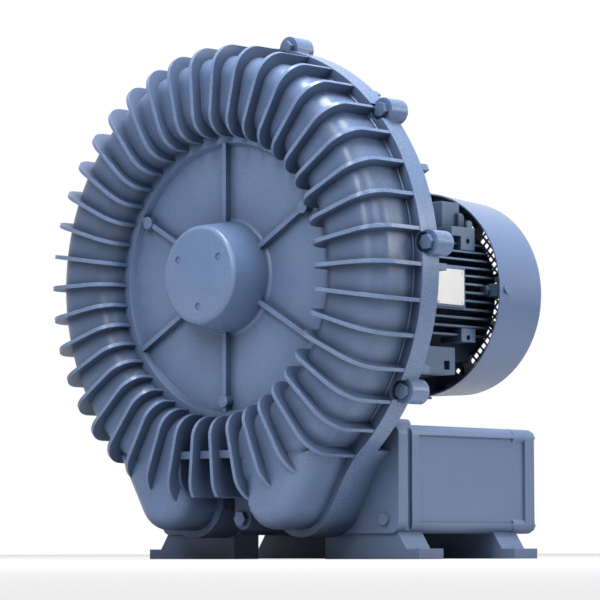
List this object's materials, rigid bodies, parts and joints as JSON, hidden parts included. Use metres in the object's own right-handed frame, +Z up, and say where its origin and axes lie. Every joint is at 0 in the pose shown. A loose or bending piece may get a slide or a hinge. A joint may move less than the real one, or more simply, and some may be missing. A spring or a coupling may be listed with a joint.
{
  "type": "side-channel blower",
  "caption": "High-pressure side-channel blower: finned round casing with two ducted legs, two silencer boxes with feet and rear ports, and a fan-cooled motor behind it.",
  "frame": {"origin": "centre of the foot bolt rectangle, on the floor under the feet", "axes": "+Z up, +Y along the shaft from the finned cover to the fan cowl, +X to the right seen from the cover"},
  "size_m": [0.5866, 0.502, 0.6226],
  "materials": {
    "casting": "satin blue-grey paint over cast aluminium",
    "cowl_paint": "semi-gloss blue-grey paint on sheet steel",
    "bare_aluminium": "as machined",
    "steel": "turned steel",
    "painted_bolt": "steel bolts painted with the casting",
    "zinc": "zinc plated",
    "laminations": "stacked electrical sheet",
    "copper": "varnished copper wire",
    "fan_plastic": "black nylon",
    "board_plastic": "moulded terminal board",
    "gland_plastic": "black nylon",
    "foam": "open acoustic foam",
    "seal_rubber": "moulded rubber",
    "plate": "white printed aluminium, blank"
  },
  "bodies": {
    "casing_and_motor": {"front_cover": "casting", "rear_housing": "casting", "left_silencer": "casting", "right_silencer": "casting", "left_end_cover": "casting", "right_end_cover": "casting", "drive_end_shield": "casting", "motor_frame": "casting", "rear_end_shield": "casting", "terminal_box": "casting", "terminal_box_lid": "casting", "fan_cowl": "cowl_paint", "cover_bolts": "painted_bolt", "motor_flange_bolts": "painted_bolt", "end_shield_bolts": "painted_bolt", "end_cover_bolts": "painted_bolt", "silencer_bolts": "zinc", "cowl_screws": "painted_bolt", "terminal_lid_screws": "zinc", "nameplate": "plate", "nameplate_rivets": "bare_aluminium", "outboard_bearing_outer": "steel", "drive_bearing_outer": "steel", "rear_bearing_outer": "steel", "bearing_spring": "steel", "casing_shaft_seal": "seal_rubber", "stator_core": "laminations", "stator_winding": "copper", "terminal_board": "board_plastic", "cable_gland": "gland_plastic", "left_silencer_liner": "foam", "right_silencer_liner": "foam"},
    "rotor": {"shaft": "steel", "impeller": "bare_aluminium", "impeller_key": "steel", "impeller_nut": "zinc", "impeller_lock_washer": "zinc", "outboard_bearing_inner": "steel", "drive_bearing_inner": "steel", "rear_bearing_inner": "steel", "rotor_core": "laminations", "rotor_end_rings": "bare_aluminium", "fan": "fan_plastic", "fan_clip": "steel"}
  },
  "joints": [
    {"name": "rotor_spin", "type": "hinge", "parent": "casing_and_motor", "child": "rotor", "pos_m": [0, 0, 0.335], "axis": [0, 1, 0], "continuous": true}
  ]
}
